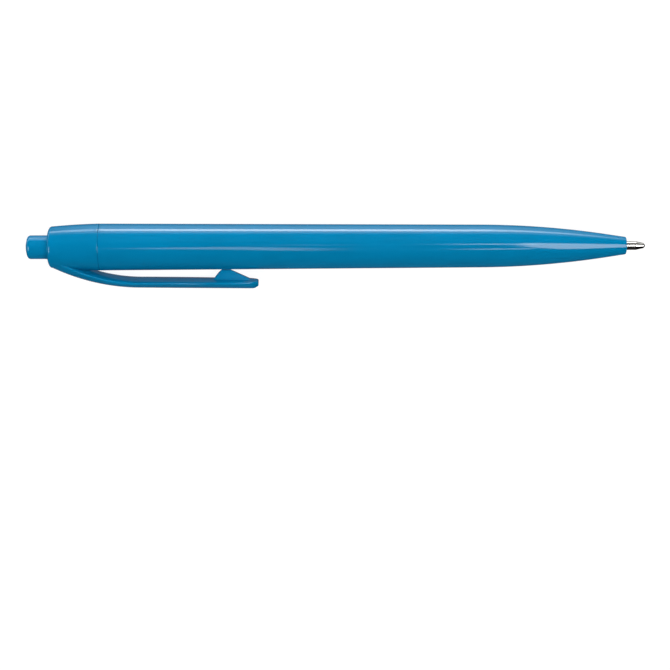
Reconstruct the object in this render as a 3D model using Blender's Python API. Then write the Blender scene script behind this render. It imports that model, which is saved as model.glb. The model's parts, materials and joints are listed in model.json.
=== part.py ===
"""A retractable ballpoint pen with a rotating-cam click mechanism, built as separate pieces at rest.

The pen lies on a table along +X, with +Z up. It has rolled until the edge of its clip, on the -Y
side, meets the table. The origin is on the table, under the middle of the pen's bounding box. At
rest the point is out and the button is down, as the pen is when it writes.

Every piece is a child of the empty pen_axis. In that empty's frame, X runs along the pen's axis
from the centre of the push button's end to the ball that writes, and the clip is on the -Y side.
Everything is in metres, by way of MM.
"""

import math

import bmesh
import bpy

MM = 0.001

# ---- driving dimensions ----------------------------------------------------------------------
PEN_LENGTH = 140.0 * MM
STEPS = 48  # segments of a turned surface
FINE_STEPS = 32  # of a thin one
GAP = 0.3 * MM  # between two solids that meet end to end
RUNNING = 0.07 * MM  # radial clearance of pieces that slide in each other

CAP_REAR_X = 5.05 * MM
SEAM_X = 16.7 * MM
SEAM_GAP = 0.16 * MM
SEAM_CHAMFER = 0.1 * MM  # on the edges of the cap and the barrel that meet at the seam
NOSE_X = 135.65 * MM

# ---- barrel ----------------------------------------------------------------------------------
BARREL_REAR_RADIUS = 5.29 * MM
BARREL_FRONT_RADIUS = 4.835 * MM  # where the long taper turns into the nose
NOSE_START_X = 102.8 * MM
NOSE_CURVE_RADIUS = 196.0 * MM
NOSE_CURVE_END_X = 131.4 * MM
NOSE_CURVE_STEPS = 12
NOSE_EDGE = 0.3 * MM
MOUTH_RADIUS = 4.25 * MM  # bore that takes the cam sleeve
MOUTH_END_X = 35.0 * MM
MOUTH_CONE_LENGTH = 0.6 * MM  # from the mouth down to the body's bore
BODY_BORE_RADIUS = 3.65 * MM
BODY_BORE_END_X = 100.0 * MM
SPRING_BORE_RADIUS = 2.1 * MM
SPRING_BORE_START_X = 119.0 * MM
SPRING_SEAT_X = 129.0 * MM
THROAT_RADIUS = 1.4 * MM
THROAT_END_X = 133.6 * MM
THROAT_CHAMFER = 0.3 * MM
NOSE_HOLE_RADIUS = 1.14 * MM

# ---- cap and clip ----------------------------------------------------------------------------
CAP_SEAM_RADIUS = 5.3 * MM
CAP_CURVE_RADIUS = 147.0 * MM  # the gentle bulge of the cap's side
CAP_SEAM_SLOPE = 0.02  # of that side where it meets the seam
CAP_SIDE_STEPS = 5
CAP_SHOULDER_X = 5.9 * MM
CAP_ROUND_LENGTH = 0.85 * MM  # half axes of the rounded rear edge
CAP_ROUND_HEIGHT = 1.9 * MM
CAP_ROUND_STEPS = 6
CAP_WALL_X = 6.2 * MM  # inside face of the cap's rear wall
CAP_BORE_RADIUS = 4.25 * MM
BUTTON_HOLE_RADIUS = 2.76 * MM

CLIP_START_X = 5.5 * MM
CLIP_SPLIT_X = 17.15 * MM  # middle of the flexing root
CLIP_BEND_X = 25.9 * MM  # where the curved root turns into the straight arm
CLIP_END_X = 52.45 * MM
CLIP_OUTER_BEND = 46.0 * MM  # radii of the two faces' bends: the root is the thicker end
CLIP_INNER_BEND = 37.0 * MM
CLIP_INNER_DEPTH = 7.6 * MM  # from the pen's axis to the arm's inner face
CLIP_OUTER_DEPTH = 9.31 * MM  # and to the crown of its outer face
CLIP_EDGE = 0.45 * MM  # height of its side faces
CLIP_SLOPE = 0.012  # the arm leans out a little towards its end
CLIP_HALF_WIDTH = 3.43 * MM
CLIP_NARROW_START_X = 24.0 * MM
CLIP_NARROW_RADIUS = 350.0 * MM  # curve of the sides, seen from the clip's face
CLIP_TIP_START_X = 50.0 * MM
CLIP_TIP_FLAT = 0.7 * MM  # half width of the flat on the rounded end
CLIP_TIP_DROP = 0.7 * MM  # how far the crown rounds off at the end
CLIP_TIP_LENGTH = 1.3 * MM  # and over what length
CROWN_POINTS = 8  # an even count, so that a flat facet runs along the middle
CLIP_ROOT_STEPS = 8
CLIP_ARM_STEPS = 12
CLIP_TIP_STEPS = 6

TOOTH_HALF_WIDTH = 1.0 * MM
CLIP_TOOTH = (  # side view of the tooth: x, depth from the axis
    (42.2 * MM, 8.0 * MM),
    (42.2 * MM, 7.65 * MM),
    (42.7 * MM, 6.9 * MM),
    (43.4 * MM, 6.0 * MM),
    (44.1 * MM, 5.3 * MM),
    (46.2 * MM, 5.3 * MM),
    (50.6 * MM, 7.45 * MM),
    (50.6 * MM, 8.0 * MM),
)

# ---- click mechanism -------------------------------------------------------------------------
TOOTH_HEIGHT = 0.8 * MM
RIB_COUNT = 4
TOOTH_COUNT = 2 * RIB_COUNT
RIB_OVERLAP = 0.4 * MM  # how deep ribs and stops run into the tube that carries them

SLEEVE_REAR_X = 6.5 * MM
SLEEVE_FRONT_X = 34.0 * MM
SLEEVE_CHAMFER = 0.4 * MM
GROOVE_RADIUS = 3.05 * MM  # bore of the sleeve, and floor of its grooves
STOP_RADIUS = 2.3 * MM  # inner face of the stops between the grooves
STOP_REAR_X = 13.8 * MM
STOP_FRONT_X = 28.2 * MM  # peaks of the stops' saw teeth
STOP_STEPS = 16  # round each stop
GROOVE_ANGLE = math.radians(26)
RIB_ANGLE = math.radians(15)
RIB_RADIUS = 2.92 * MM

BUTTON_RADIUS = 2.68 * MM
BUTTON_FACE_RADIUS = 1.1 * MM
BUTTON_DOME = 0.3 * MM
BUTTON_EDGE = 0.8 * MM
BUTTON_FACE_ANGLE = 165  # degrees on the rounded edge where it meets the domed face
BUTTON_EDGE_STEPS = 5
BUTTON_FRONT_X = 12.2 * MM
BUTTON_CONE_LENGTH = 0.5 * MM  # from the button down to the plunger
PLUNGER_RADIUS = 2.15 * MM
PLUNGER_RIB_REAR_X = 12.0 * MM
PLUNGER_RIB_FRONT_X = 26.0 * MM
PLUNGER_BORE_RADIUS = 1.4 * MM
PLUNGER_BORE_REAR_X = 20.3 * MM
CROWN_X = 27.0 * MM  # tips of the plunger's crown teeth

ROTOR_REAR_X = 27.15 * MM  # tips of the rotor's teeth
ROTOR_FRONT_X = 36.2 * MM
ROTOR_RIB_REAR_X = 28.35 * MM
ROTOR_RIB_FRONT_X = 31.6 * MM
ROTOR_STEM_RADIUS = 1.15 * MM
ROTOR_STEM_REAR_X = 21.5 * MM
ROTOR_STEM_CHAMFER = 0.3 * MM
ROTOR_SOCKET_RADIUS = 1.7 * MM
ROTOR_SOCKET_X = 32.6 * MM

# ---- refill and spring -----------------------------------------------------------------------
REFILL_REAR_X = 33.2 * MM
TUBE_RADIUS = 1.55 * MM
TUBE_BORE_RADIUS = 1.12 * MM
TUBE_FRONT_X = 115.8 * MM
FOLLOWER_REAR_X = 41.5 * MM
FOLLOWER_FRONT_X = 44.9 * MM
INK_REAR_X = 45.0 * MM
INK_FRONT_X = 111.2 * MM
INK_RADIUS = 1.07 * MM

ADAPTER_REAR_X = 111.5 * MM
FLANGE_REAR_X = 116.0 * MM
FLANGE_FRONT_X = 117.0 * MM
FLANGE_RADIUS = 1.95 * MM
ADAPTER_FRONT_X = 121.5 * MM
ADAPTER_BOSS_RADIUS = 1.38 * MM
ADAPTER_SPIGOT_RADIUS = 1.06 * MM
SPIGOT_LEAD_LENGTH = 0.4 * MM  # the cone that leads the spigot into the tube
SPIGOT_LEAD_DEPTH = 0.15 * MM
BOSS_CHAMFER = 0.25 * MM
SHANK_SOCKET_X = 117.5 * MM
SHANK_SOCKET_RADIUS = 0.78 * MM
INK_PASSAGE_RADIUS = 0.5 * MM

SHANK_REAR_X = 117.9 * MM
SHANK_RADIUS = 0.72 * MM
POINT_SHOULDER_X = 121.7 * MM
POINT_BODY_RADIUS = 1.15 * MM
POINT_STEP_X = 131.0 * MM
POINT_STEP_LENGTH = 0.2 * MM
POINT_NECK_RADIUS = 0.97 * MM
POINT_CONE_X = 137.9 * MM
POINT_LIP_X = 139.72 * MM
POINT_LIP_RADIUS = 0.6 * MM
POINT_LIP_ROLL = 0.1 * MM  # length of the rolled-over edge
POINT_LIP_DEPTH = 0.06 * MM
SOCKET_SEAT_ANGLE = 160  # degrees round the ball at which its socket meets the ink channel
SOCKET_STEPS = 7
SOCKET_CHANNEL_RADIUS = 0.175 * MM
INK_CHANNEL_RADIUS = 0.25 * MM
BALL_RADIUS = 0.5 * MM
BALL_CLEARANCE = 0.03 * MM

SPRING_WIRE_RADIUS = 0.19 * MM
SPRING_MEAN_RADIUS = 1.73 * MM
SPRING_OPEN_TURNS = 10
SPRING_END_TURNS = 1.5
SPRING_END_PITCH = 0.5 * MM
SPRING_SEAT_CLEARANCE = 0.02 * MM
SPRING_POINTS_PER_TURN = 12

# ---- place of the axis -----------------------------------------------------------------------
AXIS_Y = 2.07 * MM  # half way between the clip's face and the barrel's far side
AXIS_Z = CAP_SEAM_RADIUS  # the cap's widest ring touches the table
PEN_ROLL = math.radians(14.0)  # brings the clip's lower edge down to the table

# ---- colours: base colour, roughness, metallic -----------------------------------------------
FINISHES = {
    "blue_plastic": ((0.0, 0.235, 0.47), 0.22, 0.0),
    "white_acetal": ((0.82, 0.82, 0.78), 0.4, 0.0),
    "spring_steel": ((0.62, 0.62, 0.63), 0.3, 1.0),
    "nickel_silver": ((0.72, 0.69, 0.62), 0.22, 1.0),
    "carbide": ((0.45, 0.45, 0.47), 0.12, 1.0),
    "clear_tube": ((0.85, 0.88, 0.9), 0.25, 0.0),
    "ink": ((0.01, 0.02, 0.2), 0.3, 0.0),
    "follower_grease": ((0.8, 0.76, 0.6), 0.35, 0.0),
}


# ---- helpers ---------------------------------------------------------------------------------
def clear_scene():
    for old in list(bpy.data.objects):
        bpy.data.objects.remove(old)


def add_to_pen(obj):
    """Links an object to the scene and makes it a child of pen_axis, which is made once."""
    axis = bpy.data.objects.get("pen_axis")
    if axis is None:
        axis = bpy.data.objects.new("pen_axis", None)
        axis.location = (-PEN_LENGTH / 2, AXIS_Y, AXIS_Z)
        axis.rotation_euler.x = PEN_ROLL
        bpy.context.scene.collection.objects.link(axis)
    bpy.context.scene.collection.objects.link(obj)
    obj.parent = axis


def finish(name):
    """The material of that name in FINISHES, made once."""
    material = bpy.data.materials.get(name)
    if material is None:
        colour, roughness, metallic = FINISHES[name]
        material = bpy.data.materials.new(name)
        material.use_nodes = True
        shader = material.node_tree.nodes["Principled BSDF"]
        shader.inputs["Base Color"].default_value = (*colour, 1.0)
        shader.inputs["Roughness"].default_value = roughness
        shader.inputs["Metallic"].default_value = metallic
        material.diffuse_color = (*colour, 1.0)
    return material


def make_object(name, bm, material=None, origin=(0.0, 0.0, 0.0)):
    """An object from a bmesh, with its origin moved to a point such as a joint's pivot."""
    bmesh.ops.remove_doubles(bm, verts=bm.verts, dist=1e-7)
    bmesh.ops.recalc_face_normals(bm, faces=bm.faces)
    bmesh.ops.translate(bm, verts=bm.verts, vec=[-value for value in origin])
    mesh = bpy.data.meshes.new(name)
    bm.to_mesh(mesh)
    bm.free()
    mesh.shade_smooth()
    mesh.set_sharp_from_angle(angle=math.radians(35))
    obj = bpy.data.objects.new(name, mesh)
    obj.location = origin
    add_to_pen(obj)
    if material is None:
        obj.hide_render = True
        obj.display_type = "WIRE"
    else:
        mesh.materials.append(finish(material))
    return obj


def turned(outline, steps=STEPS):
    """A bmesh turned about the X axis from (x, radius) points.

    An outline that starts and ends on the axis is a solid, and any other closes on itself.
    """
    bm = bmesh.new()
    points = [bm.verts.new((x, 0.0, radius)) for x, radius in outline]
    edges = [bm.edges.new(pair) for pair in zip(points, points[1:])]
    if outline[0][1] > 0:
        edges.append(bm.edges.new((points[-1], points[0])))
    bmesh.ops.spin(
        bm,
        geom=points + edges,
        cent=(0, 0, 0),
        axis=(1, 0, 0),
        angle=2 * math.pi,
        steps=steps,
        use_merge=True,
    )
    return bm


def angle_about_axis(point):
    return math.atan2(point.z, point.y) % (2 * math.pi)


def cut_teeth(bm, tip_x, offset):
    """Moves the end ring at tip_x by offset(angle), which makes a ring of teeth."""
    for vertex in bm.verts:
        if abs(vertex.co.x - tip_x) < 1e-7:
            vertex.co.x += offset(angle_about_axis(vertex.co))


def zigzag(angle):
    """0 at a tooth's tip and 1 at its root, for even V-shaped teeth."""
    share = angle * TOOTH_COUNT / (2 * math.pi) % 1
    return 1 - abs(2 * share - 1)


def add_wedge(bm, radii, middle, width, rear_x, front_x, count=4):
    """Adds a block between two radii, spanning an angle, whose front end is front_x(share)."""
    rings = []
    for i in range(count + 1):
        share = i / count
        angle = middle + (share - 0.5) * width
        side = (math.cos(angle), math.sin(angle))
        corners = (
            (rear_x, radii[0]),
            (rear_x, radii[1]),
            (front_x(share), radii[1]),
            (front_x(share), radii[0]),
        )
        rings.append(
            [bm.verts.new((x, r * side[0], r * side[1])) for x, r in corners]
        )
    for ring, following in zip(rings, rings[1:]):
        for k in range(4):
            after = (k + 1) % 4
            bm.faces.new((ring[k], ring[after], following[after], following[k]))
    bm.faces.new(rings[0])
    bm.faces.new(rings[-1])


def combine(obj, other, operation):
    """A Boolean with a helper that is not part of the pen itself."""
    modifier = obj.modifiers.new(other.name, "BOOLEAN")
    modifier.operation = operation
    modifier.object = other
    modifier.solver = "EXACT"


def arc(centre, half_axes, start_degrees, end_degrees, count):
    """Points on an ellipse about centre, in (x, radius)."""
    found = []
    for i in range(count + 1):
        angle = math.radians(
            start_degrees + (end_degrees - start_degrees) * i / count
        )
        found.append(
            (
                centre[0] + half_axes[0] * math.cos(angle),
                centre[1] + half_axes[1] * math.sin(angle),
            )
        )
    return found


# ---- barrel ----------------------------------------------------------------------------------
def barrel_radius(x):
    """Outer radius of the barrel: a long taper, then a curve, then a straight cone."""
    slope = (BARREL_FRONT_RADIUS - BARREL_REAR_RADIUS) / (NOSE_START_X - SEAM_X)
    if x <= NOSE_START_X:
        return BARREL_REAR_RADIUS + slope * (x - SEAM_X)
    along = min(x, NOSE_CURVE_END_X) - NOSE_START_X
    radius = BARREL_FRONT_RADIUS + slope * along - along**2 / (2 * NOSE_CURVE_RADIUS)
    cone = slope - along / NOSE_CURVE_RADIUS
    return radius + cone * max(0.0, x - NOSE_CURVE_END_X)


def build_barrel():
    curve_step = (NOSE_CURVE_END_X - NOSE_START_X) / NOSE_CURVE_STEPS
    rear = SEAM_X + SEAM_GAP / 2
    stations = [rear + SEAM_CHAMFER, (rear + NOSE_START_X) / 2]
    stations += [NOSE_START_X + i * curve_step for i in range(NOSE_CURVE_STEPS + 1)]
    stations += [NOSE_X - NOSE_EDGE]
    outline = [(rear, barrel_radius(rear) - SEAM_CHAMFER)]
    outline += [(x, barrel_radius(x)) for x in stations]
    outline += [(NOSE_X, barrel_radius(NOSE_X) - NOSE_EDGE)]
    outline += [
        (NOSE_X, NOSE_HOLE_RADIUS),
        (THROAT_END_X, NOSE_HOLE_RADIUS),
        (THROAT_END_X - THROAT_CHAMFER, THROAT_RADIUS),
        (SPRING_SEAT_X, THROAT_RADIUS),
        (SPRING_SEAT_X, SPRING_BORE_RADIUS),
        (SPRING_BORE_START_X, SPRING_BORE_RADIUS),
        (BODY_BORE_END_X, BODY_BORE_RADIUS),
        (MOUTH_END_X + MOUTH_CONE_LENGTH, BODY_BORE_RADIUS),
        (MOUTH_END_X, MOUTH_RADIUS),
        (rear, MOUTH_RADIUS),
    ]
    make_object("barrel", turned(outline), "blue_plastic")


# ---- cap and clip ----------------------------------------------------------------------------
def cap_radius(x):
    """Outer radius of the cap: an arc that bulges a little between its shoulder and the seam."""
    back = SEAM_X - x
    return CAP_SEAM_RADIUS - CAP_SEAM_SLOPE * back - back**2 / (2 * CAP_CURVE_RADIUS)


def clip_drop(x, bend):
    """How much nearer to the axis the curved root of the clip is than its straight arm."""
    back = max(0.0, CLIP_BEND_X - x)
    return bend - math.sqrt(bend**2 - back**2)


def clip_depths(x):
    """Depths from the axis of the clip's inner face and of the middle of its outer face."""
    lean = CLIP_SLOPE * max(0.0, x - CLIP_BEND_X)
    near_end = max(0.0, 1 - (CLIP_END_X - x) / CLIP_TIP_LENGTH)
    inner = CLIP_INNER_DEPTH - clip_drop(x, CLIP_INNER_BEND) + lean / 2
    outer = CLIP_OUTER_DEPTH - clip_drop(x, CLIP_OUTER_BEND) + lean
    return inner, outer - CLIP_TIP_DROP * near_end**2


def clip_half_width(x):
    along = max(0.0, x - CLIP_NARROW_START_X)
    width = CLIP_HALF_WIDTH - along**2 / (2 * CLIP_NARROW_RADIUS)
    share = max(0.0, x - CLIP_TIP_START_X) / (CLIP_END_X - CLIP_TIP_START_X)
    round_off = math.sqrt(1 - min(share, 1.0) ** 2)
    return CLIP_TIP_FLAT + (width - CLIP_TIP_FLAT) * round_off


def clip_section(x):
    """(y, z) points round the clip at x: a flat inner face, low sides and a crowned outer face."""
    inner, outer = clip_depths(x)
    half = clip_half_width(x)
    rise = outer - inner - CLIP_EDGE
    crown = []
    for i in range(CROWN_POINTS):
        share = 1 - 2 * i / (CROWN_POINTS - 1)
        crown.append((outer - rise * share**2, half * share))
    points = [(inner, half), *crown, (inner, -half)]
    return [(-depth, z) for depth, z in points]


def lofted_clip(start, end, steps, tip_steps=0):
    """A bmesh of the clip between two places along the pen, with closer sections at its tip."""
    tip_start = CLIP_TIP_START_X if tip_steps else end
    stations = [start + (tip_start - start) * i / steps for i in range(steps + 1)]
    for i in range(1, tip_steps + 1):
        share = math.sin(math.pi / 2 * i / tip_steps)
        stations.append(tip_start + (end - tip_start) * share)
    bm = bmesh.new()
    rings = [[bm.verts.new((x, y, z)) for y, z in clip_section(x)] for x in stations]
    for ring, following in zip(rings, rings[1:]):
        for k in range(len(ring)):
            after = (k + 1) % len(ring)
            bm.faces.new((ring[k], ring[after], following[after], following[k]))
    bm.faces.new(rings[0])
    bm.faces.new(rings[-1])
    return bm


def build_cap():
    """The cap with the curved root of its clip, bored out for the sleeve and the button."""
    rear_edge = arc(
        (CAP_SHOULDER_X, cap_radius(CAP_SHOULDER_X) - CAP_ROUND_HEIGHT),
        (CAP_ROUND_LENGTH, CAP_ROUND_HEIGHT),
        180,
        90,
        CAP_ROUND_STEPS,
    )
    front = SEAM_X - SEAM_GAP / 2
    step = (front - SEAM_CHAMFER - CAP_SHOULDER_X) / CAP_SIDE_STEPS
    side = [CAP_SHOULDER_X + step * i for i in range(1, CAP_SIDE_STEPS + 1)]
    outline = [(CAP_REAR_X, 0.0), *rear_edge]
    outline += [(x, cap_radius(x)) for x in side]
    outline += [(front, cap_radius(front) - SEAM_CHAMFER), (front, 0.0)]
    cap = make_object("cap", turned(outline), "blue_plastic")
    root_end = CLIP_SPLIT_X - GAP / 2
    root = make_object(
        "clip_root", lofted_clip(CLIP_START_X, root_end, CLIP_ROOT_STEPS)
    )
    bore = make_object(
        "cap_bore",
        turned(
            [
                (CAP_REAR_X - MM, 0.0),
                (CAP_REAR_X - MM, BUTTON_HOLE_RADIUS),
                (CAP_WALL_X, BUTTON_HOLE_RADIUS),
                (CAP_WALL_X, CAP_BORE_RADIUS),
                (front + MM, CAP_BORE_RADIUS),
                (front + MM, 0.0),
            ]
        ),
    )
    combine(cap, root, "UNION")
    combine(cap, bore, "DIFFERENCE")


def build_clip():
    """The flexing arm of the clip, with the tooth that grips a pocket against the barrel."""
    pivot = (CLIP_SPLIT_X, -sum(clip_depths(CLIP_SPLIT_X)) / 2, 0.0)
    arm_start = CLIP_SPLIT_X + GAP / 2
    arm = lofted_clip(arm_start, CLIP_END_X, CLIP_ARM_STEPS, CLIP_TIP_STEPS)
    clip = make_object("clip", arm, "blue_plastic", origin=pivot)
    bm = bmesh.new()
    sides = [
        [bm.verts.new((x, -depth, z)) for x, depth in CLIP_TOOTH]
        for z in (-TOOTH_HALF_WIDTH, TOOTH_HALF_WIDTH)
    ]
    bm.faces.new(sides[0])
    bm.faces.new(sides[1])
    for k in range(len(CLIP_TOOTH)):
        after = (k + 1) % len(CLIP_TOOTH)
        bm.faces.new((sides[0][k], sides[0][after], sides[1][after], sides[1][k]))
    combine(clip, make_object("clip_tooth", bm), "UNION")


# ---- click mechanism -------------------------------------------------------------------------
def rib_angles():
    return [2 * math.pi * i / RIB_COUNT for i in range(RIB_COUNT)]


def ribs(name, radii, rear_x, front_x):
    """Straight ribs at the grooves' angles, as a helper for a union."""
    bm = bmesh.new()
    for angle in rib_angles():
        add_wedge(bm, radii, angle, RIB_ANGLE, rear_x, lambda share: front_x)
    return make_object(name, bm)


def stop_front(share):
    """Front end of a stop: two saw teeth, one that leads to a notch and one to the next groove."""
    within = share * 2 % 1 if share < 1 else 1.0
    return STOP_FRONT_X - TOOTH_HEIGHT * within


def build_cam_sleeve():
    """The guide tube pressed into the cap. It fills the barrel's mouth and holds the stops."""
    outer = MOUTH_RADIUS - RUNNING
    outline = [
        (SLEEVE_REAR_X, GROOVE_RADIUS),
        (SLEEVE_REAR_X, outer),
        (SLEEVE_FRONT_X - SLEEVE_CHAMFER, outer),
        (SLEEVE_FRONT_X, outer - SLEEVE_CHAMFER),
        (SLEEVE_FRONT_X, GROOVE_RADIUS),
    ]
    sleeve = make_object("cam_sleeve", turned(outline), "white_acetal")
    bm = bmesh.new()
    half_turn = math.pi / RIB_COUNT
    stop_width = 2 * half_turn - GROOVE_ANGLE
    for angle in rib_angles():
        add_wedge(
            bm,
            (STOP_RADIUS, GROOVE_RADIUS + RIB_OVERLAP),
            angle + half_turn,
            stop_width,
            STOP_REAR_X,
            stop_front,
            STOP_STEPS,
        )
    combine(sleeve, make_object("cam_stops", bm), "UNION")


def build_push_button():
    """The button and its plunger: a domed thumb end, guide ribs, and a crown of teeth in front."""
    edge_start = BUTTON_RADIUS - BUTTON_EDGE
    outline = [
        (0.0, 0.0),
        (0.0, BUTTON_FACE_RADIUS),
        *arc(
            (BUTTON_DOME + BUTTON_EDGE, edge_start),
            (BUTTON_EDGE, BUTTON_EDGE),
            BUTTON_FACE_ANGLE,
            90,
            BUTTON_EDGE_STEPS,
        ),
        (BUTTON_FRONT_X, BUTTON_RADIUS),
        (BUTTON_FRONT_X + BUTTON_CONE_LENGTH, PLUNGER_RADIUS),
        (CROWN_X, PLUNGER_RADIUS),
        (CROWN_X, PLUNGER_BORE_RADIUS),
        (PLUNGER_BORE_REAR_X, PLUNGER_BORE_RADIUS),
        (PLUNGER_BORE_REAR_X, 0.0),
    ]
    bm = turned(outline)
    cut_teeth(bm, CROWN_X, lambda angle: -TOOTH_HEIGHT * zigzag(angle))
    button = make_object("push_button", bm, "blue_plastic")
    guide = ribs(
        "plunger_ribs",
        (PLUNGER_RADIUS - RIB_OVERLAP, RIB_RADIUS),
        PLUNGER_RIB_REAR_X,
        PLUNGER_RIB_FRONT_X,
    )
    combine(button, guide, "UNION")


def build_cam_rotor():
    """The cam that turns a step at each click, with the refill's end seated in its front."""
    outline = [
        (ROTOR_STEM_REAR_X, 0.0),
        (ROTOR_STEM_REAR_X, ROTOR_STEM_RADIUS - ROTOR_STEM_CHAMFER),
        (ROTOR_STEM_REAR_X + ROTOR_STEM_CHAMFER, ROTOR_STEM_RADIUS),
        (ROTOR_REAR_X, ROTOR_STEM_RADIUS),
        (ROTOR_REAR_X, PLUNGER_RADIUS),
        (ROTOR_FRONT_X, PLUNGER_RADIUS),
        (ROTOR_FRONT_X, ROTOR_SOCKET_RADIUS),
        (ROTOR_SOCKET_X, ROTOR_SOCKET_RADIUS),
        (ROTOR_SOCKET_X, 0.0),
    ]
    bm = turned(outline)
    cut_teeth(bm, ROTOR_REAR_X, lambda angle: TOOTH_HEIGHT * zigzag(angle))
    rotor = make_object("cam_rotor", bm, "white_acetal")
    cam_ribs = ribs(
        "rotor_ribs",
        (PLUNGER_RADIUS - RIB_OVERLAP, RIB_RADIUS),
        ROTOR_RIB_REAR_X,
        ROTOR_RIB_FRONT_X,
    )
    combine(rotor, cam_ribs, "UNION")


# ---- refill and spring -----------------------------------------------------------------------
def build_refill():
    tube = [
        (REFILL_REAR_X, TUBE_BORE_RADIUS),
        (REFILL_REAR_X, TUBE_RADIUS),
        (TUBE_FRONT_X, TUBE_RADIUS),
        (TUBE_FRONT_X, TUBE_BORE_RADIUS),
    ]
    make_object("refill_tube", turned(tube, FINE_STEPS), "clear_tube")
    for name, rear, front, material in (
        ("ink_column", INK_REAR_X, INK_FRONT_X, "ink"),
        ("ink_follower", FOLLOWER_REAR_X, FOLLOWER_FRONT_X, "follower_grease"),
    ):
        plug = [(rear, 0.0), (rear, INK_RADIUS), (front, INK_RADIUS), (front, 0.0)]
        make_object(name, turned(plug, FINE_STEPS), material)
    adapter = [
        (ADAPTER_REAR_X, INK_PASSAGE_RADIUS),
        (ADAPTER_REAR_X, ADAPTER_SPIGOT_RADIUS - SPIGOT_LEAD_DEPTH),
        (ADAPTER_REAR_X + SPIGOT_LEAD_LENGTH, ADAPTER_SPIGOT_RADIUS),
        (FLANGE_REAR_X, ADAPTER_SPIGOT_RADIUS),
        (FLANGE_REAR_X, FLANGE_RADIUS),
        (FLANGE_FRONT_X, FLANGE_RADIUS),
        (FLANGE_FRONT_X, ADAPTER_BOSS_RADIUS),
        (ADAPTER_FRONT_X - BOSS_CHAMFER, ADAPTER_BOSS_RADIUS),
        (ADAPTER_FRONT_X, ADAPTER_BOSS_RADIUS - BOSS_CHAMFER),
        (ADAPTER_FRONT_X, SHANK_SOCKET_RADIUS),
        (SHANK_SOCKET_X, SHANK_SOCKET_RADIUS),
        (SHANK_SOCKET_X, INK_PASSAGE_RADIUS),
    ]
    make_object("point_adapter", turned(adapter, FINE_STEPS), "white_acetal")


def build_writing_point():
    """The turned metal point, bored for ink, with its lip closed over the ball."""
    ball_x = PEN_LENGTH - BALL_RADIUS
    socket = BALL_RADIUS + BALL_CLEARANCE
    lip_angle = math.degrees(math.acos((POINT_LIP_X - ball_x) / socket))
    outline = [
        (SHANK_REAR_X, INK_CHANNEL_RADIUS),
        (SHANK_REAR_X, SHANK_RADIUS),
        (POINT_SHOULDER_X, SHANK_RADIUS),
        (POINT_SHOULDER_X, POINT_BODY_RADIUS),
        (POINT_STEP_X, POINT_BODY_RADIUS),
        (POINT_STEP_X + POINT_STEP_LENGTH, POINT_NECK_RADIUS),
        (POINT_CONE_X, POINT_NECK_RADIUS),
        (POINT_LIP_X - POINT_LIP_ROLL, POINT_LIP_RADIUS),
        (POINT_LIP_X, POINT_LIP_RADIUS - POINT_LIP_DEPTH),
        *arc((ball_x, 0.0), (socket, socket), lip_angle, SOCKET_SEAT_ANGLE, SOCKET_STEPS),
        (ball_x - socket, SOCKET_CHANNEL_RADIUS),
    ]
    make_object("writing_point", turned(outline, FINE_STEPS), "nickel_silver")
    bm = bmesh.new()
    bmesh.ops.create_icosphere(bm, subdivisions=3, radius=BALL_RADIUS)
    bmesh.ops.translate(bm, verts=bm.verts, vec=(ball_x, 0.0, 0.0))
    make_object("writing_ball", bm, "carbide", origin=(ball_x, 0.0, 0.0))


def spring_points(rear, front):
    """Points along the spring's wire, with close turns at both ends."""
    turns = SPRING_OPEN_TURNS + 2 * SPRING_END_TURNS
    end_length = SPRING_END_TURNS * SPRING_END_PITCH
    open_pitch = (front - rear - 2 * end_length) / SPRING_OPEN_TURNS
    count = round(turns * SPRING_POINTS_PER_TURN)
    found = []
    for i in range(count + 1):
        turn = turns * i / count
        first = min(turn, SPRING_END_TURNS)
        middle = min(max(turn - SPRING_END_TURNS, 0.0), SPRING_OPEN_TURNS)
        last = max(turn - SPRING_END_TURNS - SPRING_OPEN_TURNS, 0.0)
        x = rear + (first + last) * SPRING_END_PITCH + middle * open_pitch
        angle = 2 * math.pi * turn
        found.append(
            (
                x,
                SPRING_MEAN_RADIUS * math.cos(angle),
                SPRING_MEAN_RADIUS * math.sin(angle),
            )
        )
    return found


def build_return_spring():
    margin = SPRING_WIRE_RADIUS + SPRING_SEAT_CLEARANCE
    points = spring_points(FLANGE_FRONT_X + margin, SPRING_SEAT_X - margin)
    curve = bpy.data.curves.new("return_spring", "CURVE")
    curve.dimensions = "3D"
    spline = curve.splines.new("POLY")
    spline.points.add(len(points) - 1)
    for place, point in zip(points, spline.points):
        point.co = (*place, 1.0)
    curve.bevel_depth = SPRING_WIRE_RADIUS
    curve.bevel_resolution = 1
    curve.use_fill_caps = True
    curve.materials.append(finish("spring_steel"))
    add_to_pen(bpy.data.objects.new("return_spring", curve))


def main():
    clear_scene()
    build_barrel()
    build_cap()
    build_clip()
    build_cam_sleeve()
    build_push_button()
    build_cam_rotor()
    build_refill()
    build_writing_point()
    build_return_spring()


main()
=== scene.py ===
"""Looks of the retractable ballpoint pen: finer shapes, materials, floor, light and camera.

Shapes are drawn in the pen's own frame, in millimetres: X from the push button's end towards the
point, the clip on the -Y side. PEN_FRAME takes them to the row frame.
"""

import json
import math

import bmesh
import bpy
from mathutils import Matrix, Vector


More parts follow.
